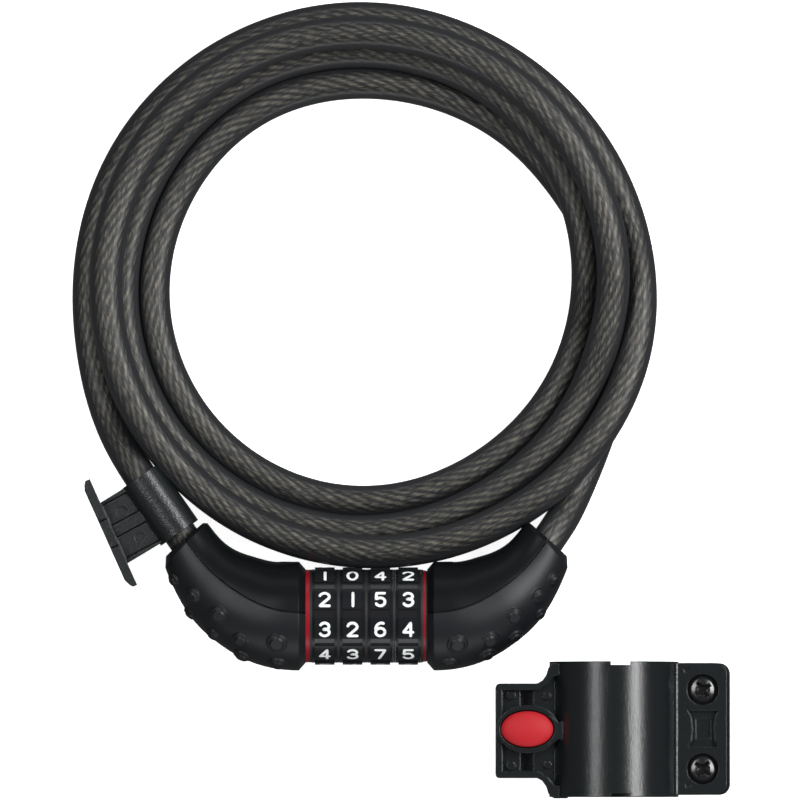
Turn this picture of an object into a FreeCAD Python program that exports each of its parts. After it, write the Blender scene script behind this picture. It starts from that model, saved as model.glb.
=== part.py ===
# Self-coiling cable lock: four-dial head with two curved horns, a carrier clip that turns on the
# cable, and the frame bracket it hangs from.  Millimetres, +Z up, everything resting on z = 0.
import FreeCAD
import Part
import math
import os

V = FreeCAD.Vector
os.makedirs("parts", exist_ok=True)

# ---- placing: local origin is the middle of the dials; the row origin is the bbox bottom centre
OFF_X, OFF_Y = -12.237, 4.452

# ---- head
Z_HEAD = 16.6               # height of the dial axis
PITCH = 8.33                # dial to dial
WHEEL_W = 7.6
WHEEL_R = 14.0              # rim between the number pads
PAD_R = 14.6                # face of a number pad
PAD_W = 5.9
PAD_DEG = 26.0
GROOVE_R = 13.75            # flat floor of the groove between two pads
DIAL_TURN = 2.5             # how far the dials stand past the reading line, degrees
RING_R = 9.9                # code ring outside, ribs reach RING_RIB_R
RING_RIB_R = 10.7
CORE_R = 7.45               # fixed tube the rings turn on
RUN = 0.06                  # radial running clearance
PIN_R = 3.0                 # plug pin
LUG_OUT = 8.7               # lugs stand out of the core slot to here, inside the code rings
LUG_W = 2.8
HORN_FACE = 18.2            # |x| of the flat face beside the dials
HORN_X = 20.2               # |x| where the chamfer ends
SKIN = 2.4                  # moulded cover over the cast core

# horn stations for the left side: centre x, centre y, section radius
HORN = [(-20.2, 0.0, 16.3), (-25.3, 0.15, 16.2), (-31.3, 1.55, 15.45), (-36.0, 3.6, 14.6),
        (-40.9, 6.45, 13.6), (-45.2, 9.9, 12.2), (-49.1, 14.2, 10.55), (-52.3, 19.0, 9.25),
        (-54.5, 22.9, 8.5)]
END_DIR = FreeCAD.Vector(-0.667, 0.745, 0)      # the way the end face looks
# seam between smooth inner cover and studded grip, left side
SEAM = [(-15.0, 0.7), (-19.0, 0.8), (-25.0, 1.3), (-31.0, 3.0), (-37.0, 6.0), (-43.0, 10.2),
        (-48.5, 15.3), (-52.3, 20.0), (-56.5, 26.5)]
# studs on the grip: x, y, radius (left), seen from above
STUDS_L = [(-57.7, 10.6, 2.0), (-52.0, 5.7, 2.3), (-44.2, 0.1, 2.5), (-26.8, -8.3, 2.7),
           (-37.6, -7.4, 2.3), (-45.8, -5.6, 2.3), (-52.6, 0.6, 2.2), (-37.3, -11.9, 2.5),
           (-26.6, -14.3, 2.5)]
STUDS_R = [(27.2, -8.6, 2.7), (37.0, -7.4, 2.5), (44.2, -0.3, 2.5), (51.5, 5.5, 2.3),
           (56.2, 10.6, 2.0), (51.8, 0.4, 2.2), (44.5, -6.2, 2.3), (36.2, -11.6, 2.4),
           (24.8, -14.3, 2.5)]

# ---- cable
CABLE_R = 5.0
EXIT = V(-54.3, 22.5, Z_HEAD)          # middle of the left horn's end face
RUN_DIR = V(-0.572, 0.820, 0)          # first straight run of the left lead
COIL_C = (-0.3, 100.5)
COIL_R = 85.5
COIL_IN_C = (0.6, 98.8)
COIL_IN_R = 58.0
COIL_H = 20.0
LEDGE_R = 82.0

# ---- carrier clip
SLEEVE_AT = 13.3                       # centre of the sleeve from the horn's end face
SLEEVE_L = 20.6
SLEEVE_R = 6.8
BAR_C = V(-77.1, 24.6, Z_HEAD)
BAR_DIR = V(-0.409, 0.913, 0)
BAR_L, BAR_T, BAR_H = 34.5, 2.8, 14.0
NECK_H = 6.2

# ---- frame bracket
TUBE_R = 15.9                          # 31.8 mm frame tube
LINER_R = 17.2
CLAMP_R = 19.35
FILLET = 1.5                # between the clamp and its flange
CL_X, CL_Y0, CL_Y1 = 74.1, -54.2, -13.7
CL_Z = CLAMP_R
GAP = 1.0                              # half the gap between the clamp halves
REC_X0, REC_Y0, REC_Y1 = 38.7, -48.5, -20.3
REC_TOP = 29.5
BTN = (48.1, -33.95)
BTN_A, BTN_B = 7.9, 5.4
FL_X1, FL_Y0, FL_Y1 = 107.8, -53.6, -14.1
SCREWS = [(100.6, -22.1), (100.6, -45.8)]
STEM_X = 49.2
SLOT_X0, SLOT_X1 = 40.9, 44.1          # slot for the bar of the clip
SLOT_Z0, SLOT_Z1 = 10.8, 25.2
THROAT = (14.75, 21.25)


def place(s):
    s = s.copy()
    s.translate(V(OFF_X, OFF_Y, 0))
    return s


def unit(v):
    w = V(v)
    w.normalize()
    return w


def cyl_x(r, x0, x1):
    return Part.makeCylinder(r, x1 - x0, V(x0, 0, Z_HEAD), V(1, 0, 0))


def ring_x(r_in, r_out, x0, x1):
    return cyl_x(r_out, x0, x1).cut(cyl_x(r_in, x0 - 1, x1 + 1))


def box(x0, x1, y0, y1, z0, z1):
    return Part.makeBox(x1 - x0, y1 - y0, z1 - z0, V(x0, y0, z0))


def prism(points, z0, z1):
    w = Part.makePolygon([V(x, y, z0) for x, y in points] + [V(points[0][0], points[0][1], z0)])
    return Part.Face(w).extrude(V(0, 0, z1 - z0))


def oval(cx, cy, a, b, z0, z1):
    e = Part.Ellipse(V(cx, cy, z0), a, b).toShape()
    return Part.Face(Part.Wire([e])).extrude(V(0, 0, z1 - z0))


def mirror_x(s):
    return s.mirror(V(0, 0, 0), V(1, 0, 0))


def around(s, deg):
    s = s.copy()
    s.rotate(V(0, 0, Z_HEAD), V(1, 0, 0), deg)
    return s


# ------------------------------------------------------------------ dials
def number_wheel(x):
    w = ring_x(RING_R, WHEEL_R, x - WHEEL_W / 2, x + WHEEL_W / 2)
    half = math.radians(PAD_DEG / 2)
    for k in range(10):
        t = PAD_R * math.sin(half)
        pad = cyl_x(PAD_R, x - PAD_W / 2, x + PAD_W / 2).common(
            box(x - PAD_W / 2, x + PAD_W / 2, -t, t, Z_HEAD + 11, Z_HEAD + PAD_R + 1))
        w = w.fuse(around(pad, 18 + 36 * k))
    for k in range(10):
        floor = box(x - PAD_W / 2, x + PAD_W / 2, -1.28, 1.28, Z_HEAD + GROOVE_R, Z_HEAD + PAD_R + 1)
        w = w.cut(around(floor, 36 * k))
        rib = box(x - WHEEL_W / 2, x + WHEEL_W / 2, -0.8, 0.8, Z_HEAD + 9.4, Z_HEAD + RING_RIB_R)
        w = w.cut(around(rib, 36 * k))
    return around(w.removeSplitter(), -DIAL_TURN)


def code_ring(x):
    x0, x1 = x - WHEEL_W / 2, x + WHEEL_W / 2
    r = cyl_x(RING_R, x0, x1)
    for k in range(10):
        rib = box(x0, x1, -0.8, 0.8, Z_HEAD + 9.0, Z_HEAD + RING_RIB_R)
        r = r.fuse(around(rib, 36 * k))
    r = around(r, -DIAL_TURN)
    r = r.cut(cyl_x(CORE_R + RUN, x0 - 1, x1 + 1))
    for k in range(10):
        r = r.cut(around(Part.makeCylinder(0.5, WHEEL_W + 2, V(x0 - 1, 0, Z_HEAD + CORE_R + RUN),
                                           V(1, 0, 0)), 36 * k))
    # room the lug stands in, and the gate through the wall on its left
    r = r.cut(ring_x(CORE_R, 9.1, x0 + 2.2, x1 + 0.5))
    r = r.cut(box(x0 - 1, x0 + 3, -LUG_W / 2 - 0.4, LUG_W / 2 + 0.4, Z_HEAD - 9.1, Z_HEAD - 6))
    return r.removeSplitter()


dial_x = [(-1.5 + k) * PITCH for k in range(4)]
wheels = [number_wheel(x) for x in dial_x]
rings = [code_ring(x) for x in dial_x]

core = cyl_x(CORE_R, -17.2, 31.0).cut(cyl_x(PIN_R + RUN, -18, 18.0))
core = core.cut(box(-18, 16.2, -LUG_W / 2 - 0.2, LUG_W / 2 + 0.2, Z_HEAD - 8, Z_HEAD))
leaf_seat = box(-15.6, 15.6, -1.3, 1.3, Z_HEAD + 5.6, Z_HEAD + 8)
core = core.cut(leaf_seat)
leaf = box(-15.6, 15.6, -1.3, 1.3, Z_HEAD + 5.6, Z_HEAD + 6.1)
for x in dial_x:
    bump = Part.makeCylinder(0.9, 3.0, V(x - 1.5, 0, Z_HEAD + 6.3), V(1, 0, 0))
    leaf = leaf.fuse(bump.cut(box(-20, 20, -2, 2, Z_HEAD, Z_HEAD + 5.6)))
core = core.cut(ring_x(6.9, CORE_R + 1, -17.01, -16.37))
retainer = ring_x(6.9, 13.9, -17.0, -16.38).cut(box(-17, -16, -2.2, 2.2, Z_HEAD - 14, Z_HEAD))
wave = ring_x(CORE_R, 13.9, 16.38, 17.0)
spacer_solids = []
for k in range(3):
    xm = (k - 1) * PITCH
    gate = box(xm - 1, xm + 1, -LUG_W / 2 - 0.4, LUG_W / 2 + 0.4, Z_HEAD - 9.1, Z_HEAD)
    spacer_solids.append(ring_x(CORE_R, 13.95, xm - 0.31, xm + 0.31).cut(gate))
spacer_solids.append(ring_x(CORE_R, 13.6, 17.75, 18.2))
spacers = Part.makeCompound(spacer_solids)
trim_r = ring_x(CORE_R, 13.7, 17.0, 17.75)
trim_l = ring_x(9.0, 13.9, -18.2, -17.05)


# ------------------------------------------------------------------ horns
def horn_loft(less, last):
    wires = []
    for i, (x, y, r) in enumerate(HORN[:last]):
        a = HORN[max(i - 1, 0)]
        b = HORN[min(i + 1, len(HORN) - 1)]
        d = unit(V(b[0] - a[0], b[1] - a[1], 0)) if i > 1 else V(-1, 0, 0)
        if i == len(HORN) - 1:
            d = END_DIR
        c = Part.Circle(V(x, y, Z_HEAD), d, r - less)
        wires.append(Part.Wire([c.toShape()]))
    body = Part.makeLoft(wires, True, False)
    if less == 0.0:
        tip = V(HORN[-1][0], HORN[-1][1], Z_HEAD)
        back = tip - END_DIR * 30.0
        bevel = Part.makeCone(HORN[-1][2] - 1.0 + 30.0, HORN[-1][2] - 1.0, 30.0, back, END_DIR)
        near = Part.makeCylinder(30.0, 6.0, tip - END_DIR * 6.0, END_DIR)
        body = body.cut(near.cut(bevel))
    nose = Part.makeCone(14.0 - less, 16.3 - less, HORN_X - HORN_FACE, V(-HORN_FACE, 0, Z_HEAD),
                         V(-1, 0, 0))
    return body.fuse(nose).removeSplitter()


def horn_at(x, y):
    best = None
    for i in range(len(HORN) - 1):
        ax, ay, ar = HORN[i]
        bx, by, br = HORN[i + 1]
        lx, ly = bx - ax, by - ay
        t = max(0.0, min(1.0, ((x - ax) * lx + (y - ay) * ly) / (lx * lx + ly * ly)))
        cx, cy = ax + t * lx, ay + t * ly
        d = math.hypot(x - cx, y - cy)
        if best is None or d < best[0]:
            best = (d, cx, cy, ar + t * (br - ar))
    return best


def stud(x, y, rad, side):
    d, cx, cy, r = horn_at(x, y)
    up = math.sqrt(max(r * r - d * d, 0.0)) * side
    n = unit(V(x - cx, y - cy, up)) if d > 0 else V(0, 0, side)
    base = V(cx, cy, Z_HEAD) + n * (r - 1.2)
    s = Part.makeCylinder(rad + 0.35, 1.3, base, n).fuse(
        Part.makeCone(rad + 0.35, rad + 0.05, 0.3, base + n * 1.3, n))
    return s.fuse(Part.makeCone(rad - 0.35, rad - 0.9, 0.65, base + n * 1.6, n))


def seam_region(shift):
    pts = [V(x, y + shift, -5) for x, y in SEAM]
    c = Part.BSplineCurve()
    c.interpolate(pts)
    e = c.toShape()
    a, b = pts[0], pts[-1]
    far = [b, V(-30, 60, -5), V(-15, 60, -5), a]
    w = Part.Wire([e] + Part.makePolygon(far).Edges)
    return Part.Face(w).extrude(V(0, 0, 50))


first = EXIT - RUN_DIR * 2.5
cable_bore = Part.makeCylinder(CABLE_R + 0.1, 30, first, RUN_DIR)
ferrule_blank = Part.makeCylinder(5.6, 14.0, first - RUN_DIR * 14.0, RUN_DIR)


def horn_pieces(studs, front_bore):
    outer = horn_loft(0.0, 9)
    inner = horn_loft(SKIN, 7)
    skin = outer.cut(inner).cut(cable_bore).cut(ferrule_blank)
    cover = skin.common(seam_region(0.18))
    grip = skin.cut(seam_region(-0.18))
    for x, y, rad in studs:
        for side in (1, -1):
            s = stud(x, y, rad, side)
            if s.BoundBox.ZMin < 0.25:
                continue
            grip = grip.fuse(s.cut(inner).cut(cable_bore).cut(ferrule_blank).cut(seam_region(-0.18)))
    body = inner.cut(front_bore).cut(ferrule_blank).cut(cable_bore)
    return cover.removeSplitter(), grip.removeSplitter(), body


pin_front = cyl_x(PIN_R, -34.0, 14.8).cut(cyl_x(9, 14.0, 20).cut(cyl_x(2.2, 13, 21)))
anchor = ring_x(PIN_R, 6.0, -34.0, -29.0)
pin_blank = pin_front.fuse(anchor)
cross_l = Part.makeCylinder(1.25, 22.0, V(-23.5, 0, Z_HEAD - 11.0), V(0, 0, 1))
pin = pin_blank.cut(cross_l)
for x in dial_x:
    a = x + 0.9
    lug = box(a, a + 2.0, -LUG_W / 2, LUG_W / 2, Z_HEAD - LUG_OUT, Z_HEAD - 2.0)
    pin = pin.fuse(lug.common(cyl_x(LUG_OUT, -20, 20)))
pin = pin.removeSplitter()
front_l = pin_blank.fuse(cross_l)
cover_l, grip_l, body_l = horn_pieces(STUDS_L, front_l)

core_shank = cyl_x(CORE_R, 17.0, 31.0)
cross_r = Part.makeCylinder(1.25, 22.0, V(24.5, 0, Z_HEAD - 11.0), V(0, 0, 1))
core = core.cut(cross_r).removeSplitter()
front_r = mirror_x(core_shank.fuse(cross_r))
cover_r, grip_r, body_r = horn_pieces([(-x, y, r) for x, y, r in STUDS_R], front_r)
cover_r, grip_r, body_r = mirror_x(cover_r), mirror_x(grip_r), mirror_x(body_r)
ferrule_l = ferrule_blank
ferrule_r = mirror_x(ferrule_blank)


# ------------------------------------------------------------------ cable
def tube_path(points, r):
    d0 = unit(points[1] - points[0])
    prev = points[0]
    edges, radii = [], []
    for i in range(1, len(points) - 1):
        a, b, c = points[i - 1], points[i], points[i + 1]
        u, w = unit(b - a), unit(c - b)
        turn = u.getAngle(w)
        short = min((b - a).Length, (c - b).Length)
        cut = 0.45 * short
        p, q = b - u * cut, b + w * cut
        rad = cut / math.tan(turn / 2)
        radii.append(round(rad, 1))
        mid_dir = unit(w - u)
        centre = b + mid_dir * (rad / math.cos(turn / 2))
        m = centre - mid_dir * rad
        edges.append(Part.makeLine(prev, p))
        edges.append(Part.Arc(p, m, q).toShape())
        prev = q
    edges.append(Part.makeLine(prev, points[-1]))
    path = Part.Wire(edges)
    prof = Part.Wire([Part.Circle(points[0], d0, r).toShape()])
    tube = path.makePipeShell([prof], True, True)
    print("cord length %.2f, volume over section %.2f, radii %s" % (
        path.Length, tube.Volume / (math.pi * r * r), radii))
    return tube


def flip(p):
    return V(-p.x, p.y, p.z)


knee = EXIT + RUN_DIR * 32.6
lead_l = tube_path([first, knee, knee + V(-8.6, 16.0, -5.2)], CABLE_R)
first_r = flip(first)
dir_r = flip(RUN_DIR)
lead_r = tube_path([first_r, flip(EXIT) + dir_r * 14.5, V(70.6, 51.4, 12.4)], CABLE_R)

coil = Part.makeCylinder(COIL_R, COIL_H, V(COIL_C[0], COIL_C[1], 0))
coil = coil.cut(Part.makeCylinder(COIL_IN_R, COIL_H + 2, V(COIL_IN_C[0], COIL_IN_C[1], -1)))
coil = coil.makeFillet(4.0, [e for e in coil.Edges if isinstance(e.Curve, Part.Circle)])
ledge = box(-110, -52, 20, 70, 6.0, 40).cut(
    Part.makeCylinder(LEDGE_R, 60, V(COIL_C[0], COIL_C[1], -10)))
coil = coil.cut(ledge)

# ------------------------------------------------------------------ carrier clip
s_mid = EXIT + RUN_DIR * SLEEVE_AT
side = V(-RUN_DIR.y, RUN_DIR.x, 0)                 # from the cable towards the bar
bar_n = V(BAR_DIR.y, -BAR_DIR.x, 0)                # from the bar towards the cable
sleeve = Part.makeCylinder(SLEEVE_R, SLEEVE_L, s_mid - RUN_DIR * (SLEEVE_L / 2), RUN_DIR)
bore = Part.makeCylinder(CABLE_R + RUN, 60, s_mid - RUN_DIR * 30, RUN_DIR)


def plan(p):
    return (p.x, p.y)


neck_pts = [plan(s_mid + side * 2.0 + RUN_DIR * 9.9), plan(BAR_C + bar_n * 0.2 + BAR_DIR * 9.4),
            plan(BAR_C + bar_n * 0.2 - BAR_DIR * 10.4), plan(s_mid + side * 2.0 - RUN_DIR * 9.9)]
neck = prism(neck_pts, Z_HEAD - NECK_H / 2, Z_HEAD + NECK_H / 2)
bar_pts = []
h, t = BAR_L / 2, BAR_T / 2
for s, d in [(-h, t), (-h, t - 1.4), (-h + 0.9, -t + 0.7), (-h + 2.6, -t), (h - 2.6, -t),
             (h - 0.9, -t + 0.7), (h, t - 1.4), (h, t)]:
    bar_pts.append(plan(BAR_C + BAR_DIR * s + bar_n * d))
bar = prism(bar_pts, Z_HEAD - BAR_H / 2, Z_HEAD + BAR_H / 2)


def bar_box(s0, s1, d0, d1, z0, z1):
    return prism([plan(BAR_C + BAR_DIR * s0 + bar_n * d0), plan(BAR_C + BAR_DIR * s1 + bar_n * d0),
                  plan(BAR_C + BAR_DIR * s1 + bar_n * d1), plan(BAR_C + BAR_DIR * s0 + bar_n * d1)],
                 z0, z1)


# the rails stop short of the middle, and the foot of the bar has the catch for the tongue
bar = bar.cut(bar_box(-4.2, 4.2, -3, 3, Z_HEAD + BAR_H / 2 - 1.3, 60))
bar = bar.cut(bar_box(-4.2, 4.2, -3, 3, -5, Z_HEAD - BAR_H / 2 + 1.3))
bar = bar.cut(bar_box(-4.0, 4.0, -3, -t + 1.0, -5, Z_HEAD - BAR_H / 2 + 2.4))
for s0 in (-4.6, 4.2):
    bar = bar.cut(bar_box(s0, s0 + 0.4, -3, 3, Z_HEAD + BAR_H / 2 - 2.6, 60))
clip = sleeve.fuse(neck).fuse(bar)
for s0, s1 in ((-8.6, -1.9), (1.9, 8.6)):
    a, b = s_mid + side * (SLEEVE_R - 0.6), BAR_C + bar_n * (t + 0.3)
    pocket = prism([plan(a + RUN_DIR * s0), plan(a + RUN_DIR * s1), plan(b + BAR_DIR * s1),
                    plan(b + BAR_DIR * s0)], Z_HEAD + NECK_H / 2 - 0.7, Z_HEAD + 20)
    under = prism([plan(a + RUN_DIR * s0), plan(a + RUN_DIR * s1), plan(b + BAR_DIR * s1),
                   plan(b + BAR_DIR * s0)], Z_HEAD - 20, Z_HEAD - NECK_H / 2 + 0.7)
    clip = clip.cut(pocket).cut(under)
for s0 in (-8.8, -1.9, 1.9, 8.6):
    a, b = s_mid + side * (SLEEVE_R - 0.8), BAR_C + bar_n * (t + 0.2)
    line = prism([plan(a + RUN_DIR * (s0 - 0.2)), plan(a + RUN_DIR * (s0 + 0.2)),
                  plan(b + BAR_DIR * (s0 + 0.2)), plan(b + BAR_DIR * (s0 - 0.2))],
                 Z_HEAD + NECK_H / 2 - 1.6, Z_HEAD + 20)
    clip = clip.cut(line)
clip = clip.fuse(sleeve)
for s0 in (4.6, -5.0):
    at = s_mid + side * 10.6 + RUN_DIR * s0
    clip = clip.cut(Part.makeCylinder(1.7, 3, V(at.x, at.y, Z_HEAD + NECK_H / 2 - 1.1)))
clip = clip.cut(bore).removeSplitter()


# ------------------------------------------------------------------ frame bracket
def cyl_y(r, y0=CL_Y0, y1=CL_Y1):
    return Part.makeCylinder(r, y1 - y0, V(CL_X, y0, CL_Z), V(0, 1, 0))


ring = cyl_y(CLAMP_R).cut(cyl_y(LINER_R, CL_Y0 - 1, CL_Y1 + 1))
upper = ring.common(box(40, 120, -70, 0, CL_Z + GAP, 60))
lower = ring.common(box(40, 120, -70, 0, -5, CL_Z - GAP))

ym = (REC_Y0 + REC_Y1) / 2
hy = (REC_Y1 - REC_Y0) / 2
hc = (CL_Y1 - CL_Y0) / 2
s_curve = [(0.0, hy), (12.3, hy), (13.9, hy + 0.9), (15.1, hy + 2.6), (15.7, hy + 4.6),
           (16.4, hc - 0.5), (17.6, hc), (22.0, hc)]
outline = [(REC_X0 + x, ym + y) for x, y in s_curve] + [(REC_X0 + x, ym - y) for x, y in s_curve[::-1]]
block = box(REC_X0, 62.0, REC_Y0, REC_Y1, 0.0, REC_TOP)
block = block.fuse(prism(outline, 22.0, REC_TOP))
corner = [e for e in block.Edges if abs(e.BoundBox.XMin - REC_X0) < 1e-6 and e.BoundBox.ZLength > 6
          and e.BoundBox.XLength < 1e-6 and e.BoundBox.YLength < 1e-6]
block = block.makeFillet(1.2, corner)
block = block.cut(cyl_y(LINER_R, CL_Y0 - 1, CL_Y1 + 1))
block = block.cut(cyl_y(CLAMP_R + 0.1, CL_Y0 - 1, CL_Y1 + 1).common(box(40, 120, -70, 0, -5, CL_Z + GAP)))
# sunk panel inside the rim, then the oval collar and its bridge to the clamp
inset = [(REC_X0 + x, ym + y) for x, y in [(1.9, hy - 1.9), (12.6, hy - 1.9), (15.4, hy - 0.2),
                                           (17.4, hy + 2.2), (24.0, hy + 3.6)]]
inset += [(x, 2 * ym - y) for x, y in inset[::-1]]
block = block.cut(prism(inset, REC_TOP - 2.3, REC_TOP + 10))
upper = upper.fuse(block)
collar = oval(BTN[0] + 0.2, BTN[1], BTN_A + 1.5, BTN_B + 1.75, 22.0, REC_TOP + 1.1)
bridge = prism([(54.6, ym + 4.6), (57.6, ym + 2.4), (59.4, ym + 3.0), (59.4, ym - 3.0),
                (57.6, ym - 2.4), (54.6, ym - 4.6)], 22.0, REC_TOP + 1.6)
tile = box(46.0, 50.0, REC_Y0 + 2.2, REC_Y1 - 2.2, REC_TOP - 6.5, REC_TOP - 2.3)
upper = upper.fuse(collar.fuse(bridge).cut(cyl_y(LINER_R + 0.5, -70, 0)))
upper = upper.cut(tile.cut(oval(BTN[0] + 0.2, BTN[1], BTN_A + 1.5, BTN_B + 1.75, 0, 60)))
for bx, by, br in [(43.2, 10.6, 1.35), (54.0, 10.3, 1.1), (43.2, -10.6, 1.35), (54.2, -10.3, 1.1)]:
    upper = upper.fuse(Part.makeCylinder(br, 1.0, V(bx, ym + by, REC_TOP - 2.4)))
# well for the button, cavity for its spring, pocket for the tongue, slot for the clip
upper = upper.cut(oval(BTN[0], BTN[1], BTN_A + 0.3, BTN_B + 0.3, 26.2, 60))
upper = upper.cut(Part.makeCylinder(4.1, 30, V(STEM_X, BTN[1], 17.0)))
upper = upper.cut(Part.makeCylinder(2.5, 12, V(STEM_X, BTN[1], 8.6)))
upper = upper.cut(box(42.8, STEM_X + 2.6, BTN[1] - 1.9, BTN[1] + 1.9, 8.6, 13.3))
upper = upper.cut(box(SLOT_X0, SLOT_X1, -60, -10, SLOT_Z0, SLOT_Z1))
upper = upper.cut(box(REC_X0 - 1, SLOT_X0 + 0.5, -60, -10, THROAT[0], THROAT[1]))
# right flange with two sunk screw seats and a waisted pocket
flange = box(88.0, FL_X1, FL_Y0, FL_Y1, CL_Z + GAP, CL_Z + GAP + 5.4)
cf = [e for e in flange.Edges if abs(e.BoundBox.XMin - FL_X1) < 1e-6 and e.BoundBox.ZLength > 4
      and e.BoundBox.YLength < 1e-6]
flange = flange.makeFillet(3.2, cf).cut(cyl_y(CLAMP_R - 0.6, -70, 0))
upper = upper.fuse(flange)
# fillet between the clamp's wall and the flange
fz = CL_Z + GAP + 5.4 + FILLET
fx = CL_X + math.sqrt((CLAMP_R + FILLET) ** 2 - (fz - CL_Z) ** 2)
web = box(91.4, fx, FL_Y0, FL_Y1, fz - FILLET - 0.3, fz)
web = web.cut(Part.makeCylinder(FILLET, 60, V(fx, -60, fz), V(0, 1, 0))).cut(cyl_y(CLAMP_R - 0.6, -70, 0))
upper = upper.fuse(web)
low = box(88.0, 108.9, FL_Y0, FL_Y1, CL_Z - GAP - 5.0, CL_Z - GAP)
cl = [e for e in low.Edges if abs(e.BoundBox.XMin - 108.9) < 1e-6 and e.BoundBox.ZLength > 4
      and e.BoundBox.YLength < 1e-6]
low = low.makeFillet(3.2, cl).cut(cyl_y(CLAMP_R - 0.6, -70, 0))
lower = lower.fuse(low)
fm = (FL_Y0 + FL_Y1) / 2
pocket = prism([(96.1, fm + 5.5), (105.2, fm + 5.5), (104.3, fm + 3.4), (104.0, fm), (104.3, fm - 3.4),
                (105.2, fm - 5.5), (96.1, fm - 5.5), (97.2, fm - 3.4), (97.6, fm), (97.2, fm + 3.4)],
               CL_Z + GAP + 3.6, 60)
pocket = pocket.fuse(box(98.6, 103.0, fm - 3.0, fm + 3.0, CL_Z + GAP + 3.0, 60))
for ex, ey in ((95.8, FL_Y1 - 2.1), (96.3, FL_Y0 + 3.0)):
    pocket = pocket.fuse(Part.makeCylinder(0.9, 5, V(ex, ey, CL_Z + GAP + 5.0)))
upper = upper.cut(pocket)
# hook of the lower half in the receiver block
hook = box(53.2, 56.6, ym - 6, ym + 6, 12.6, 15.4)
lower = lower.fuse(hook.cut(cyl_y(LINER_R + 0.3, -70, 0)))
upper = upper.cut(box(53.1, 58.0, ym - 6.1, ym + 6.1, 12.5, 15.5))
screw_solids, nut_solids = [], []
for sx, sy in SCREWS:
    z_seat = CL_Z + GAP + 2.2
    upper = upper.cut(Part.makeCylinder(4.65, 20, V(sx, sy, z_seat)))
    upper = upper.cut(Part.makeCylinder(2.7, 20, V(sx, sy, z_seat - 8)))
    lower = lower.cut(Part.makeCylinder(2.7, 20, V(sx, sy, 5)))
    head = Part.makeCylinder(4.0, 1.9, V(sx, sy, z_seat)).fuse(
        Part.makeCone(4.0, 3.4, 0.5, V(sx, sy, z_seat + 1.9))).fuse(
        Part.makeCone(3.4, 2.2, 0.35, V(sx, sy, z_seat + 2.4)))
    cross = box(-2.7, 2.7, -0.6, 0.6, z_seat + 0.2, z_seat + 5).fuse(
        box(-0.6, 0.6, -2.7, 2.7, z_seat + 0.2, z_seat + 5))
    cross = cross.fuse(Part.makeCone(0.9, 1.6, 2.6, V(0, 0, z_seat + 0.2)))
    cross.rotate(V(0, 0, 0), V(0, 0, 1), 35 if sy > -30 else 50)
    cross.translate(V(sx, sy, 0))
    shank = Part.makeCylinder(2.5, z_seat - 8.0, V(sx, sy, 8.0))
    screw_solids.append(head.cut(cross).fuse(shank).removeSplitter())
    hexa = [(sx + 4.6 * math.cos(math.radians(60 * k)), sy + 4.6 * math.sin(math.radians(60 * k)))
            for k in range(6)]
    z_nut = CL_Z - GAP - 5.0 + 2.0
    lower = lower.cut(prism(hexa, 0, z_nut))
    nut_solids.append(prism(hexa, z_nut - 4.0, z_nut).cut(Part.makeCylinder(2.5, 40, V(sx, sy, 0))))
screws, nuts = Part.makeCompound(screw_solids), Part.makeCompound(nut_solids)
for y0 in (CL_Y0 - 1, CL_Y1 - 1.1):
    upper = upper.cut(box(73.0, 78.8, y0, y0 + 2.1, CL_Z + 10, 60))
lower = lower.cut(box(72.4, 79.4, CL_Y1 - 1.2, CL_Y1 + 1, -5, CL_Z - 10))
upper = upper.removeSplitter()
lower = lower.removeSplitter()
liner = cyl_y(LINER_R, CL_Y0 + 1.2, CL_Y1 - 1.2).cut(cyl_y(TUBE_R, -70, 0))
liner = liner.cut(box(CL_X + 5, CL_X + 30, -70, 0, CL_Z - 0.9, CL_Z + 0.9))

dome = Part.makeSphere(1.0, V(0, 0, 0))
mat = FreeCAD.Matrix()
mat.scale(BTN_A, BTN_B, 2.6)
dome = dome.transformGeometry(mat)
dome.translate(V(BTN[0], BTN[1], 30.0))
button = oval(BTN[0], BTN[1], BTN_A, BTN_B, 28.6, 30.0)
button = button.fuse(dome.common(box(30, 70, -50, -20, 30.0, 40)))
button = button.fuse(Part.makeCylinder(2.2, 16.1, V(STEM_X, BTN[1], 12.6)))
button = button.fuse(box(43.2, STEM_X + 2.2, BTN[1] - 1.5, BTN[1] + 1.5, 11.1, 12.7))
coil_path = Part.makeHelix(2.1, 10.5, 3.2)
spring = Part.Wire([coil_path.Edges[0]]) if len(coil_path.Edges) == 1 else Part.Wire(coil_path.Edges)
sp = Part.Wire([Part.Circle(V(3.2, 0, 0), V(0, 1, 0.1), 0.4).toShape()])
spring = spring.makePipeShell([sp], True, True)
spring.translate(V(STEM_X, BTN[1], 17.5))

nodes = {
    "left_inner_cover": cover_l, "left_outer_grip": grip_l, "left_core": body_l,
    "left_trim_ring": trim_l, "plug_pin": pin, "left_cross_pin": cross_l,
    "left_ferrule": ferrule_l, "cable_lead_left": lead_l,
    "right_inner_cover": cover_r, "right_outer_grip": grip_r, "right_core": body_r,
    "right_trim_ring": trim_r, "core_tube": core, "detent_leaf": leaf, "retaining_ring": retainer,
    "thrust_washer": wave, "dial_spacers": spacers, "right_cross_pin": cross_r,
    "right_ferrule": ferrule_r, "cable_lead_right": lead_r, "cable_coil": coil,
    "carrier_clip": clip, "bracket_upper": upper, "bracket_lower": lower, "bracket_liner": liner,
    "clamp_screws": screws, "clamp_nuts": nuts, "release_button": button, "button_spring": spring,
}
for k in range(4):
    nodes["number_wheel_%d" % (k + 1)] = wheels[k]
    nodes["code_ring_%d" % (k + 1)] = rings[k]

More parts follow.
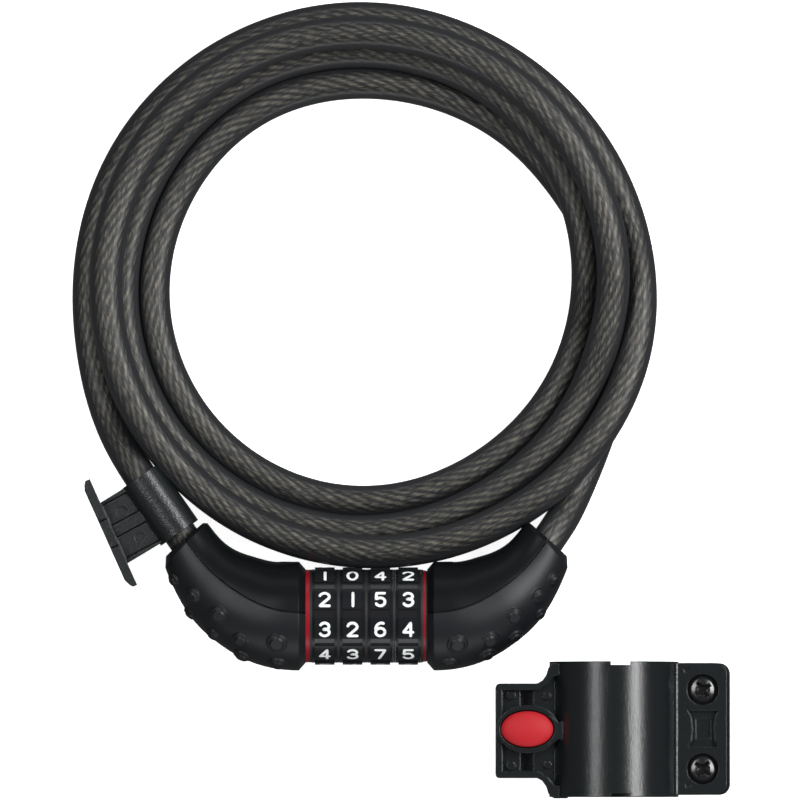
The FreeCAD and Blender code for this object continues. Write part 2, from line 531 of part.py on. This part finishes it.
lo, hi = [1e9] * 3, [-1e9] * 3
for name, shape in nodes.items():
    s = place(shape)
    s.exportStep("parts/%s.step" % name)
    bb = s.BoundBox
    if not name.startswith("cable_"):
        lo = [min(lo[0], bb.XMin), min(lo[1], bb.YMin), min(lo[2], bb.ZMin)]
        hi = [max(hi[0], bb.XMax), max(hi[1], bb.YMax), max(hi[2], bb.ZMax)]
    print("%-18s solids %d valid %s  %.1f x %.1f x %.1f" % (
        name, len(s.Solids), s.isValid(), bb.XLength, bb.YLength, bb.ZLength))
print("non-cord box", [round(v, 3) for v in lo], [round(v, 3) for v in hi])
print("centre", round((lo[0] + hi[0]) / 2, 3), round((lo[1] + hi[1]) / 2, 3))
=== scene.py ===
# Looks for the self-coiling cable lock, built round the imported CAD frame.  Metres, +Z up.
import bpy
import math
import numpy as np
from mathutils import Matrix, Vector


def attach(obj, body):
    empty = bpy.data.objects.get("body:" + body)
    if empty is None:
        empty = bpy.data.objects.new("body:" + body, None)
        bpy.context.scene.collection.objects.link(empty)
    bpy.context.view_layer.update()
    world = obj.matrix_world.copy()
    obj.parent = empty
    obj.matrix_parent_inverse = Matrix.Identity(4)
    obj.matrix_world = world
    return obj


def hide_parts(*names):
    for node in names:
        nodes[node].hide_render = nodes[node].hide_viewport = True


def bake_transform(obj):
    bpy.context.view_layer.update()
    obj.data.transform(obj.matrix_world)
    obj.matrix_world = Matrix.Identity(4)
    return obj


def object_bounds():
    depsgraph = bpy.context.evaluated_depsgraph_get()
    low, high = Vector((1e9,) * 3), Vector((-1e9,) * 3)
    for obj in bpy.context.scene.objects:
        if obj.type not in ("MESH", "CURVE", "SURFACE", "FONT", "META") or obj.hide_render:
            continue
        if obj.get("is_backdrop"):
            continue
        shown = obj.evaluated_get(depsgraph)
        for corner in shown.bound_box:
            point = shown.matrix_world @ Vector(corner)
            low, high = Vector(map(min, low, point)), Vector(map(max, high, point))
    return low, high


MM = 0.001
OFF = np.array([-12.237, 4.452, 0.0])      # local frame (middle of the dials) to row frame, mm
Z_HEAD = 16.6                              # height of the dial axis, mm
PITCH = 8.33                               # from one dial to the next, mm
PAD_R = 14.6                               # radius of the number pads' faces, mm
DIAL_TURN = 2.5                            # how far the dials stand turned at rest, degrees
DIGIT_LAG = 1.2                            # how far the numbers stand back from that, degrees
CABLE_R = 5.0
ROPE_R = 3.9

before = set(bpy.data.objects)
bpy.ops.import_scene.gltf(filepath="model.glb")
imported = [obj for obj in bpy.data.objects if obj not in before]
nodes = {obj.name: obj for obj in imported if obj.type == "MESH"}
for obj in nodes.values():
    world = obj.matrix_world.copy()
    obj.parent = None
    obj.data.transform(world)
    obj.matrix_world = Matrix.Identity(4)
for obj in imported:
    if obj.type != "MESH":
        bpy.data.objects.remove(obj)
cad_box = [list(p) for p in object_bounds()]


def row(p):
    return [(p[0] + OFF[0]) * MM, (p[1] + OFF[1]) * MM, p[2] * MM]


# ------------------------------------------------------------------ materials
def material(name, color, rough=0.5, metallic=0.0, spec=0.5):
    m = bpy.data.materials.new(name)
    m.use_nodes = True
    b = m.node_tree.nodes["Principled BSDF"]
    b.inputs["Base Color"].default_value = (*color, 1)
    b.inputs["Roughness"].default_value = rough
    b.inputs["Metallic"].default_value = metallic
    b.inputs["Specular IOR Level"].default_value = spec
    return m


def node(m, kind, **props):
    n = m.node_tree.nodes.new(kind)
    for k, v in props.items():
        setattr(n, k, v)
    return n


def link(m, a, b):
    m.node_tree.links.new(a, b)


def grain(m, scale, strength, distance, soft=0.0004):
    """A fine moulded texture: noise in object space drives a bump, over softened edges."""
    tc = node(m, "ShaderNodeTexCoord")
    nz = node(m, "ShaderNodeTexNoise")
    nz.inputs["Scale"].default_value = scale
    nz.inputs["Detail"].default_value = 2.0
    bump = node(m, "ShaderNodeBump")
    bump.inputs["Strength"].default_value = strength
    bump.inputs["Distance"].default_value = distance
    link(m, tc.outputs["Object"], nz.inputs["Vector"])
    link(m, nz.outputs["Fac"], bump.inputs["Height"])
    link(m, bump.outputs["Normal"], m.node_tree.nodes["Principled BSDF"].inputs["Normal"])
    edge = node(m, "ShaderNodeBevel", samples=6)
    edge.inputs["Radius"].default_value = soft
    link(m, edge.outputs["Normal"], bump.inputs["Normal"])
    return m


cover_mat = grain(material("horn_cover", (0.004, 0.005, 0.006), 0.36, spec=0.14), 4500, 0.12, 0.00005)
grip_mat = grain(material("grip", (0.008, 0.009, 0.011), 0.42, spec=0.3), 4200, 0.25, 0.00006,
                 soft=0.0006)
dial_mat = material("dial_black", (0.009, 0.010, 0.012), 0.27, spec=0.25)
# groove floors: a lighter, glossier copy as painted light, and a darker copy as painted shade
groove_painted_light_mat = material("dial_groove", (0.012, 0.014, 0.015), 0.40, spec=0.75)
groove_painted_shade_mat = material("dial_groove_dark", (0.004, 0.004, 0.005), 0.50, spec=0.2)
red_mat = material("trim_red", (0.26, 0.005, 0.012), 0.34, spec=0.3)
clip_mat = grain(material("clip_plastic", (0.008, 0.010, 0.011), 0.30), 1900, 1.0, 0.00010)
bracket_mat = grain(material("bracket_plastic", (0.007, 0.009, 0.010), 0.22), 1900, 1.0, 0.00008)
button_mat = grain(material("button_red", (0.42, 0.010, 0.016), 0.60, spec=0.3), 4200, 0.15, 0.00006)
steel_mat = material("steel", (0.52, 0.53, 0.55), 0.30, 1.0)
# near-black steel: painted shade in the gaps between and beside the dials
steel_painted_shade_mat = material("black_steel", (0.010, 0.010, 0.011), 0.5)
# the cast cores are near-black: painted shade in the seam between the horn halves, where they show
core_painted_shade_mat = material("cast_core", (0.008, 0.008, 0.009), 0.55)
brass_mat = material("code_ring", (0.62, 0.46, 0.22), 0.35, 1.0)
spacer_mat = material("spacer", (0.008, 0.008, 0.009), 0.5)
liner_mat = material("liner_rubber", (0.012, 0.012, 0.013), 0.7)
screw_mat = grain(material("screw_black", (0.010, 0.010, 0.011), 0.20, spec=0.6), 2000, 0.05, 0.00005,
                  soft=0.00025)
white_mat = material("digit_white", (0.85, 0.89, 0.87), 0.45)

# the thrust washer, retaining ring and core tube are near-black as painted shade in the gaps
looks = {"left_core": core_painted_shade_mat, "right_core": core_painted_shade_mat, "dial_spacers": spacer_mat,
         "thrust_washer": spacer_mat, "retaining_ring": steel_painted_shade_mat, "core_tube": steel_painted_shade_mat,
         "carrier_clip": clip_mat, "bracket_liner": liner_mat, "clamp_screws": screw_mat,
         "release_button": button_mat}
FLOOR_R = (13.0, 13.9)                     # a face between these radii is a groove's floor, mm
READ_HALF = 3                              # the groove at the reading line, painted shade, lies within this of the axis, mm


def floors(obj):
    """Gives the groove floors between the number pads a lighter slot, painted light, and the one at the
    reading line a darker slot, painted shade.
    """
    obj.data.materials.append(groove_painted_light_mat)
    obj.data.materials.append(groove_painted_shade_mat)
    w = obj.matrix_world
    for p in obj.data.polygons:
        c = w @ p.center
        r = math.hypot(c.y / MM - OFF[1], c.z / MM - Z_HEAD)
        if FLOOR_R[0] < r < FLOOR_R[1] and abs((w.to_3x3() @ p.normal).x) < 0.5:
            # the floor facing up at the reading line gets the painted shade
            facing = c.z / MM > Z_HEAD and abs(c.y / MM - OFF[1]) < READ_HALF
            p.material_index = 2 if facing else 1


for name, obj in nodes.items():
    m = looks.get(name)
    if m is None:
        if "inner_cover" in name:
            m = cover_mat
        elif "outer_grip" in name:
            m = grip_mat
        elif "trim_ring" in name:
            m = red_mat
        elif "number_wheel" in name:
            m = dial_mat
        elif "code_ring" in name:
            m = brass_mat
        elif name.startswith("bracket"):
            m = bracket_mat
        else:
            m = steel_mat
    obj.data.materials.clear()
    obj.data.materials.append(m)
    for p in obj.data.polygons:
        p.use_smooth = True
    obj.data.set_sharp_from_angle(angle=math.radians(28))
    if "number_wheel" in name:
        floors(obj)


# ------------------------------------------------------------------ rings between the dials
BORE_R = 7.45                              # inner radius of the spacers and the washer, mm
SPACER_HALF = 0.35
SPACER_R = 13.95
END_R = 13.9


def rings(name, spans, mat, node_name, n=96):
    """Flat rings about the dial axis, from x0 to x1 and radius r0 to r1, each of n sides.

    They are a few hundredths of a millimetre wider than in CAD, so that little light comes up."""
    verts, faces = [], []
    for x0, x1, r0, r1 in spans:
        base = len(verts)
        for x, r in ((x0, r0), (x0, r1), (x1, r1), (x1, r0)):
            for i in range(n):
                a = 2 * math.pi * i / n
                verts.append(row((x, r * math.sin(a), Z_HEAD + r * math.cos(a))))
        for k in range(4):
            for i in range(n):
                j = (i + 1) % n
                a, b = base + k * n, base + ((k + 1) % 4) * n
                faces.append((a + i, b + i, b + j, a + j))
    me = bpy.data.meshes.new(name)
    me.from_pydata(verts, [], faces)
    me.validate()
    ob = bpy.data.objects.new(name, me)
    bpy.context.scene.collection.objects.link(ob)
    me.materials.append(mat)
    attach(ob, "dial_half")
    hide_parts(node_name)


# one spacer between each two dials, and one between the right trim ring and the horn
spacers = [(x - SPACER_HALF, x + SPACER_HALF, BORE_R, SPACER_R) for x in (-PITCH, 0.0, PITCH)]
spacers.append((17.75, 18.2, BORE_R, 13.6))
rings("spacer_rings", spacers, spacer_mat, "dial_spacers")
# the end ring and the washer beside the right trim ring are near-black: painted shade in those gaps
rings("end_ring", [(-17.05, -16.31, 7.0, END_R)], steel_painted_shade_mat, "retaining_ring")
rings("end_washer", [(16.31, 17.0, BORE_R, END_R)], spacer_mat, "thrust_washer")


# ------------------------------------------------------------------ numbers on the dials
def arc(cx, cy, rx, ry, a0, a1, n=14):
    return [(cx + rx * math.cos(math.radians(a0 + (a1 - a0) * i / n)),
             cy + ry * math.sin(math.radians(a0 + (a1 - a0) * i / n))) for i in range(n + 1)]


# the middle line of each number's strokes, about 0, 0, in millimetres
W, H = 1.39, 2.0                           # half the width and half the height of that line
PEN = 0.42                                 # half the width of a stroke
LIFT = 0.035                               # how far the numbers stand off their pads
CAP = 16                                   # sides of the round end of a stroke
STROKES = {
    0: [arc(0, 0, W, H, 90, 450, 30)],
    1: [[(0.15, H), (0.15, -H)]],
    2: [arc(0, H - 1.15, W, 1.15, 165, -28, 18) + [(-W, -H), (W, -H)]],
    3: [arc(0, H - 1.05, W * 0.94, 1.05, 155, -80, 16)[:-1] + [(-0.25, 0.02)],
        [(-0.25, 0.02)] + arc(0, -H + 1.12, W, 1.12, 80, -155, 18)],
    4: [[(0.75, -H), (0.75, H), (-W, -0.85), (W, -0.85)]],
    5: [[(W * 0.9, H), (-W * 0.8, H), (-W * 0.9, 0.15)] + arc(0, -H + 1.25, W, 1.25, 128, -150, 20)],
    6: [arc(0, -H + 1.22, W, 1.22, 0, 360, 24), arc(0.35, 0, 1.75, H, 180, 72, 14)],
    7: [[(-W, H), (W, H), (-0.35, -H)]],
    8: [arc(0, H - 0.98, W * 0.88, 0.98, 0, 360, 22), arc(0, -H + 1.06, W, 1.06, 0, 360, 22)],
    9: [arc(0, H - 1.22, W, 1.22, 0, 360, 24), arc(-0.35, 0, 1.75, H, 0, -108, 14)],
}


def dense(path, step=0.12):
    out = [path[0]]
    for (ax, ay), (bx, by) in zip(path, path[1:]):
        d = math.hypot(bx - ax, by - ay)
        k = max(1, int(d / step))
        for i in range(1, k + 1):
            out.append((ax + (bx - ax) * i / k, ay + (by - ay) * i / k))
    return out


def stroke_mesh(path, verts, faces, wrap):
    pts = dense(path)
    n = len(pts)
    base = len(verts)
    dirs = []
    for i in range(n):
        a, b = pts[max(i - 1, 0)], pts[min(i + 1, n - 1)]
        d = math.hypot(b[0] - a[0], b[1] - a[1]) or 1.0
        dirs.append(((b[0] - a[0]) / d, (b[1] - a[1]) / d))
    for (x, y), (dx, dy) in zip(pts, dirs):
        verts.append(wrap(x - dy * PEN, y + dx * PEN))
        verts.append(wrap(x + dy * PEN, y - dx * PEN))
    for i in range(n - 1):
        faces.append((base + 2 * i, base + 2 * i + 1, base + 2 * i + 3, base + 2 * i + 2))
    for at, (x, y) in ((0, pts[0]), (n - 1, pts[-1])):
        c = len(verts)
        verts.append(wrap(x, y))
        for k in range(CAP):
            a = 2 * math.pi * k / CAP
            verts.append(wrap(x + PEN * math.cos(a), y + PEN * math.sin(a)))
        for k in range(CAP):
            faces.append((c, c + 1 + k, c + 1 + (k + 1) % CAP))


def number_set(k, first_digit):
    """The ten numbers of wheel k; first_digit is the one just behind the reading line."""
    cx = (-1.5 + k) * PITCH
    verts, faces = [], []
    for j in range(10):
        digit = (first_digit + j) % 10
        mid = math.radians(18 - 36 * j + DIAL_TURN - DIGIT_LAG)    # angle from straight up, towards +Y

        def wrap(x, y, mid=mid):
            a = mid + y / PAD_R
            r = PAD_R + LIFT
            return row((cx + x, r * math.sin(a), Z_HEAD + r * math.cos(a)))
        for path in STROKES[digit]:
            stroke_mesh(path, verts, faces, wrap)
    me = bpy.data.meshes.new("numbers_%d" % (k + 1))
    me.from_pydata(verts, [], faces)
    me.update()
    ob = bpy.data.objects.new("numbers_%d" % (k + 1), me)
    bpy.context.collection.objects.link(ob)
    me.materials.append(white_mat)
    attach(ob, "dial_%d" % (k + 1))


for k, d in enumerate((2, 1, 5, 3)):
    number_set(k, d)

# ------------------------------------------------------------------ cable
CENTRE = np.array([0.6, 98.5])
EXIT = np.array([-54.3, 22.5])
RUN = np.array([-0.572, 0.820])
# where the middle of the cable runs, listed: angle round the coil in degrees, always falling,
# and radius in millimetres
PLAN = [(210, 87.6), (195, 85.2), (180, 84), (150, 83.4), (120, 82.3), (90, 81.2), (60, 79.9),
        (30, 80.2), (0, 81.6), (-15, 82.2), (-30, 81.9), (-45, 81.3), (-60, 80.4), (-75, 79.8),
        (-90, 79.3), (-120, 78.8), (-150, 78.6), (-180, 78.8), (-210, 78.9), (-240, 78.1),
        (-270, 76.4), (-300, 75.2), (-330, 74.5), (-360, 73.3), (-375, 72.3), (-390, 72.0),
        (-405, 71.8), (-420, 71.9), (-450, 73.1), (-480, 73.9), (-510, 74.3), (-540, 74.0),
        (-570, 73.4), (-600, 72.8), (-630, 71.2), (-660, 70.0), (-690, 68.0), (-720, 65.8),
        (-750, 64.2), (-780, 63.4), (-810, 64.2), (-840, 64.7), (-870, 64.9), (-900, 64.7),
        (-930, 64.0), (-960, 63.4), (-990, 62.0), (-1020, 62.8), (-1035, 64.1), (-1050, 65.8),
        (-1065, 69.0), (-1080, 73.5), (-1113, 82.0), (-1125, 87.5)]


def polar(p, turns):
    d = p - CENTRE
    return (math.degrees(math.atan2(d[1], d[0])) + 360 * turns, float(np.hypot(*d)))


def spline(xs, ys, q):
    """Natural cubic spline through the stations."""
    n = len(xs)
    h = np.diff(xs)
    a = np.zeros((n, n))
    b = np.zeros(n)
    a[0, 0] = a[-1, -1] = 1
    for i in range(1, n - 1):
        a[i, i - 1], a[i, i], a[i, i + 1] = h[i - 1], 2 * (h[i - 1] + h[i]), h[i]
        b[i] = 6 * ((ys[i + 1] - ys[i]) / h[i] - (ys[i] - ys[i - 1]) / h[i - 1])
    m = np.linalg.solve(a, b)
    k = np.clip(np.searchsorted(xs, q) - 1, 0, n - 2)
    x0, x1, hh = xs[k], xs[k + 1], h[k]
    return ((m[k] * (x1 - q) ** 3 + m[k + 1] * (q - x0) ** 3) / (6 * hh)
            + (ys[k] / hh - m[k] * hh / 6) * (x1 - q)
            + (ys[k + 1] / hh - m[k + 1] * hh / 6) * (q - x0))


def lay_cable():
    """Lays the cable down turn on turn: the plan is fixed, the heights settle under gravity."""
    step = 2.5                             # degrees from one ring of the line to the next
    gap = 2 * CABLE_R + 0.05               # between the middles of two turns that touch
    stiffness, weight, push = 0.06, 0.006, 0.9
    right = np.array([-EXIT[0], EXIT[1]])
    run_r = np.array([-RUN[0], RUN[1]])
    head = [polar(EXIT + RUN * s, 1) for s in (-2.5, 6, 15, 24)]
    tail = [polar(right + run_r * s, -3) for s in (7, 2, -2.5)]
    plan = head + PLAN + tail
    a = np.array([-p[0] for p in plan])
    r = np.array([p[1] for p in plan])
    q = np.arange(a[0], a[-1], step)
    q = np.append(q, a[-1]) if a[-1] - q[-1] > 0.8 else np.append(q[:-1], a[-1])
    rr = spline(a, r, q)
    t = -q
    x = CENTRE[0] + rr * np.cos(np.radians(t))
    y = CENTRE[1] + rr * np.sin(np.radians(t))
    n = len(q)
    i, j = np.triu_indices(n, 10)
    d = np.hypot(x[i] - x[j], y[i] - y[j])
    dt = t[i] - t[j]
    keep = (d < gap - 0.25) & ~((np.abs(dt - 720) < 60) & (d > 9.0))
    i, j, d, dt = i[keep], j[keep], d[keep], dt[keep]
    h = np.sqrt(gap * gap - d * d)
    # the earlier turn lies on top, except the first turn's left and top, which the second crosses
    s = np.where((np.abs(dt - 360) < 70) & (t[i] > -16) & (t[j] > -1030), -1.0, 1.0)
    held = (np.hypot(x - EXIT[0], y - EXIT[1]) < 25) & (np.arange(n) < n // 2)
    held |= (np.hypot(x - right[0], y - right[1]) < 4) & (np.arange(n) > n // 2)
    z = np.full(n, 8.0)
    for _ in range(3600):
        bend = np.zeros(n)
        bend[1:-1] = z[2:] - 2 * z[1:-1] + z[:-2]
        stiff = np.zeros(n)
        stiff[1:-1] = bend[2:] - 2 * bend[1:-1] + bend[:-2]
        z = z - stiffness * stiff - weight
        for _ in range(3):
            miss = h - (z[i] - z[j]) * s
            bad = miss > 0
            c = np.zeros(n)
            w = np.zeros(n)
            np.add.at(c, i[bad], 0.5 * miss[bad] * s[bad])
            np.add.at(w, i[bad], 1)
            np.add.at(c, j[bad], -0.5 * miss[bad] * s[bad])
            np.add.at(w, j[bad], 1)
            z = z + push * c / np.maximum(w, 1)
        z = np.maximum(z, CABLE_R)
        z[held] = Z_HEAD
    print("cable heights: top", round(float(z.max()), 2), "worst overlap", round(float(miss.max()), 2))
    return np.stack([x, y, z], 1)


laid = lay_cable()
curve = bpy.data.curves.new("cable_line", "CURVE")
curve.dimensions = "3D"
curve.resolution_u = 3
line = curve.splines.new("NURBS")
ctrl = laid[::2] if (len(laid) - 1) % 2 == 0 else np.vstack([laid[:-1:2], laid[-1:]])
line.points.add(len(ctrl) - 1)
for p, c in zip(line.points, ctrl):
    p.co = (*row(c), 1.0)
line.order_u = 3
line.use_endpoint_u = True
line_obj = bpy.data.objects.new("cable_line", curve)
flat = bpy.data.meshes.new_from_object(line_obj)
path = np.array([v.co[:] for v in flat.vertices])
bpy.data.objects.remove(line_obj)
apart = np.concatenate([[True], np.linalg.norm(np.diff(path, axis=0), axis=1) > 1e-6])
path = path[apart]
seg = np.linalg.norm(np.diff(path, axis=0), axis=1)


def tube(name, radius, sides, mat):
    """A tube along the cable's line, with UV: u round it, v the distance along it in metres."""
    n = len(path)
    tan = np.gradient(path, axis=0)
    tan /= np.linalg.norm(tan, axis=1)[:, None]
    side = np.cross(tan[0], [0, 0, 1.0])
    dist = np.concatenate([[0], np.cumsum(seg)])
    a = np.arange(sides) * 2 * math.pi / sides
    loops = []
    for i in range(n):
        side = side - tan[i] * np.dot(side, tan[i])
        side /= np.linalg.norm(side)
        up = np.cross(side, tan[i])
        loops.append(path[i] + (np.cos(a) * radius)[:, None] * side + (np.sin(a) * radius)[:, None] * up)
    verts = np.concatenate(loops)
    faces, uvs = [], []
    for i in range(n - 1):
        for k in range(sides):
            k2 = (k + 1) % sides
            faces.append((i * sides + k, i * sides + k2, (i + 1) * sides + k2, (i + 1) * sides + k))
            uvs += [(k / sides, dist[i]), ((k + 1) / sides, dist[i]),
                    ((k + 1) / sides, dist[i + 1]), (k / sides, dist[i + 1])]
    faces.append(tuple(range(sides))[::-1])
    faces.append(tuple((n - 1) * sides + k for k in range(sides)))
    uvs += [(0.0, 0.0)] * (2 * sides)
    me = bpy.data.meshes.new(name)
    me.from_pydata(verts.tolist(), [], faces)
    layer = me.uv_layers.new(name="around")
    layer.data.foreach_set("uv", np.array(uvs, dtype=np.float32).ravel())
    me.materials.append(mat)
    for p in me.polygons:
        p.use_smooth = True
    me.update()
    ob = bpy.data.objects.new(name, me)
    bpy.context.collection.objects.link(ob)
    return ob


def rope_material():
    """Laid rope: strands wind round, each with fine wires that run nearly straight. Its colour holds
    painted shade in the grooves between the strands and painted highlights along the wires.
    """
    m = material("steel_rope", (0.2, 0.19, 0.16), 0.42)
    b = m.node_tree.nodes["Principled BSDF"]
    uv = node(m, "ShaderNodeUVMap", uv_map="around")
    xyz = node(m, "ShaderNodeSeparateXYZ")
    link(m, uv.outputs["UV"], xyz.inputs["Vector"])

    def calc(op, a, b2=None, c=None):
        n = node(m, "ShaderNodeMath", operation=op)
        for k, v in enumerate((a, b2, c)):
            if v is None:
                continue
            if isinstance(v, (int, float)):
                n.inputs[k].default_value = v
            else:
                link(m, v, n.inputs[k])
        return n.outputs[0]
    u, v = xyz.outputs["X"], xyz.outputs["Y"]
    # twelve strands round the rope, one turn in 60 mm
    strands, lay = 12.0, 0.060
    strand = calc("ADD", calc("MULTIPLY", u, strands), calc("MULTIPLY", v, strands / lay))
    s_wave = calc("SINE", calc("MULTIPLY", strand, 2 * math.pi))
    # the grooves between the strands come out darker: painted shade
    s_mask = calc("MULTIPLY_ADD", s_wave, 0.30, 0.70)
    # the wires run nearly along the rope, leaning the other way
    wire = calc("SUBTRACT", calc("MULTIPLY", u, 64.0), calc("MULTIPLY", v, 280.0))
    w_wave = calc("MULTIPLY_ADD", calc("SINE", calc("MULTIPLY", wire, 2 * math.pi)), 0.4, 0.6)
    combine = node(m, "ShaderNodeCombineXYZ")
    link(m, calc("MULTIPLY", u, 40.0), combine.inputs["X"])
    link(m, calc("MULTIPLY", v, 330.0), combine.inputs["Y"])
    nz = node(m, "ShaderNodeTexNoise")
    nz.inputs["Scale"].default_value = 1.0
    nz.inputs["Detail"].default_value = 3.0
    link(m, combine.outputs[0], nz.inputs["Vector"])
    mix1 = calc("MULTIPLY", s_mask, calc("MULTIPLY_ADD", w_wave, 0.75, 0.25))
    strand_pattern_and_glint = calc("MULTIPLY", mix1, calc("MULTIPLY_ADD", nz.outputs["Fac"], 2.4, -0.55))
    # the ramp runs from painted shade between the strands, through the wires' grey, to a bright tan painted
    # highlight along them
    ramp = node(m, "ShaderNodeValToRGB")
    e = ramp.color_ramp.elements
    e[0].position, e[0].color = 0.0, (0.016, 0.018, 0.022, 1)
    e[1].position, e[1].color = 0.85, (0.85, 0.78, 0.62, 1)
    mid = ramp.color_ramp.elements.new(0.30)
    mid.color = (0.13, 0.132, 0.132, 1)
    link(m, strand_pattern_and_glint, ramp.inputs["Fac"])
    link(m, ramp.outputs["Color"], b.inputs["Base Color"])
    bump = node(m, "ShaderNodeBump")
    bump.inputs["Strength"].default_value = 0.6
    bump.inputs["Distance"].default_value = 0.0006
    link(m, strand_pattern_and_glint, bump.inputs["Height"])
    link(m, bump.outputs["Normal"], b.inputs["Normal"])
    return m


def jacket_material():
    """Smoked vinyl: clear enough to see the rope square on, black where one looks along it."""
    m = material("cable_jacket", (0.020, 0.021, 0.023), 0.30)
    b = m.node_tree.nodes["Principled BSDF"]
    out = m.node_tree.nodes["Material Output"]
    clear = node(m, "ShaderNodeBsdfTransparent")
    clear.inputs["Color"].default_value = (0.86, 0.86, 0.86, 1)
    facing = node(m, "ShaderNodeLayerWeight")
    facing.inputs["Blend"].default_value = 0.5
    ramp = node(m, "ShaderNodeValToRGB")
    e = ramp.color_ramp.elements
    e[0].position, e[0].color = 0.05, (0.16, 0.16, 0.16, 1)
    e[1].position, e[1].color = 0.34, (1, 1, 1, 1)
    mix = node(m, "ShaderNodeMixShader")
    link(m, facing.outputs["Facing"], ramp.inputs["Fac"])
    link(m, ramp.outputs["Color"], mix.inputs["Fac"])
    link(m, clear.outputs[0], mix.inputs[1])
    link(m, b.outputs[0], mix.inputs[2])
    link(m, mix.outputs[0], out.inputs["Surface"])
    return m


cable = tube("cable", CABLE_R * MM, 28, jacket_material())
rope = tube("rope", ROPE_R * MM, 24, rope_material())
start, end = row((52.0, 22.5, Z_HEAD)), row((-52.0, 22.5, Z_HEAD))
for ob in (cable, rope):
    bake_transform(ob)
    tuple(start)
    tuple(end)
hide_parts("cable_coil", "cable_lead_left", "cable_lead_right")
[list(p) for p in path]

# ------------------------------------------------------------------ floor, lights, camera
me = bpy.data.meshes.new("floor")
half, low = 3.0, -0.0002
me.from_pydata([(-half, -half, low), (half, -half, low), (half, half, low), (-half, half, low)], [],
               [(0, 1, 2, 3)])
floor = bpy.data.objects.new("floor", me)
bpy.context.collection.objects.link(floor)
floor_mat = material("floor", (0.9, 0.9, 0.9), 0.8)
fb = floor_mat.node_tree.nodes["Principled BSDF"]
fb.inputs["Emission Color"].default_value = (1, 1, 1, 1)
fb.inputs["Emission Strength"].default_value = 0.9
me.materials.append(floor_mat)
floor.visible_diffuse = False
floor.visible_glossy = False
floor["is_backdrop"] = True


middle = row((10.05, 64.9, 10.0))          # what the lamps and the camera look at


def strip(name, lean, rise, long, wide, power):
    """A long softbox a metre away, leaning over from straight up by lean (x) and rise (y) degrees."""
    ax, ay = math.radians(lean), math.radians(rise)
    d = Vector((math.sin(ax) * math.cos(ay), math.sin(ay), math.cos(ax) * math.cos(ay)))
    lamp = bpy.data.lights.new(name, "AREA")
    lamp.shape = "RECTANGLE"
    lamp.size, lamp.size_y = long, wide
    lamp.energy = power
    ob = bpy.data.objects.new(name, lamp)
    ob.location = Vector(middle) + d
    ob.rotation_euler = (-d).to_track_quat("-Z", "Y").to_euler()
    bpy.context.collection.objects.link(ob)


strip("left", -26, 9, 0.85, 0.12, 4.6)
strip("right", 39, 9, 0.85, 0.22, 11.0)
strip("front", 0, -72, 1.4, 0.26, 3.2)
strip("back", 0, 72, 1.4, 0.20, 1.6)
world = bpy.data.worlds.new("world")
bpy.context.scene.world = world
world.use_nodes = True
world.node_tree.nodes["Background"].inputs["Color"].default_value = (1, 1, 1, 1)
world.node_tree.nodes["Background"].inputs["Strength"].default_value = 0.12

cam_data = bpy.data.cameras.new("camera")
cam = bpy.data.objects.new("camera", cam_data)
bpy.context.collection.objects.link(cam)
tilt = math.radians(1.3)
far, across, sensor = 6.0, 0.240, 36       # distance and width of view in metres, sensor in millimetres
cam.location = (middle[0], middle[1] - far * math.sin(tilt), middle[2] + far * math.cos(tilt))
cam.rotation_euler = (tilt, 0, 0)
cam_data.sensor_width = sensor
cam_data.lens = sensor * far / across
scene = bpy.context.scene
scene.camera = cam
scene.view_settings.view_transform = "Standard"
scene.view_settings.look = "None"
scene.view_settings.exposure = 0.0

({"cad": [[float(c) for c in p] for p in cad_box],
           "visual": [[float(c) for c in p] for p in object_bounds()]})
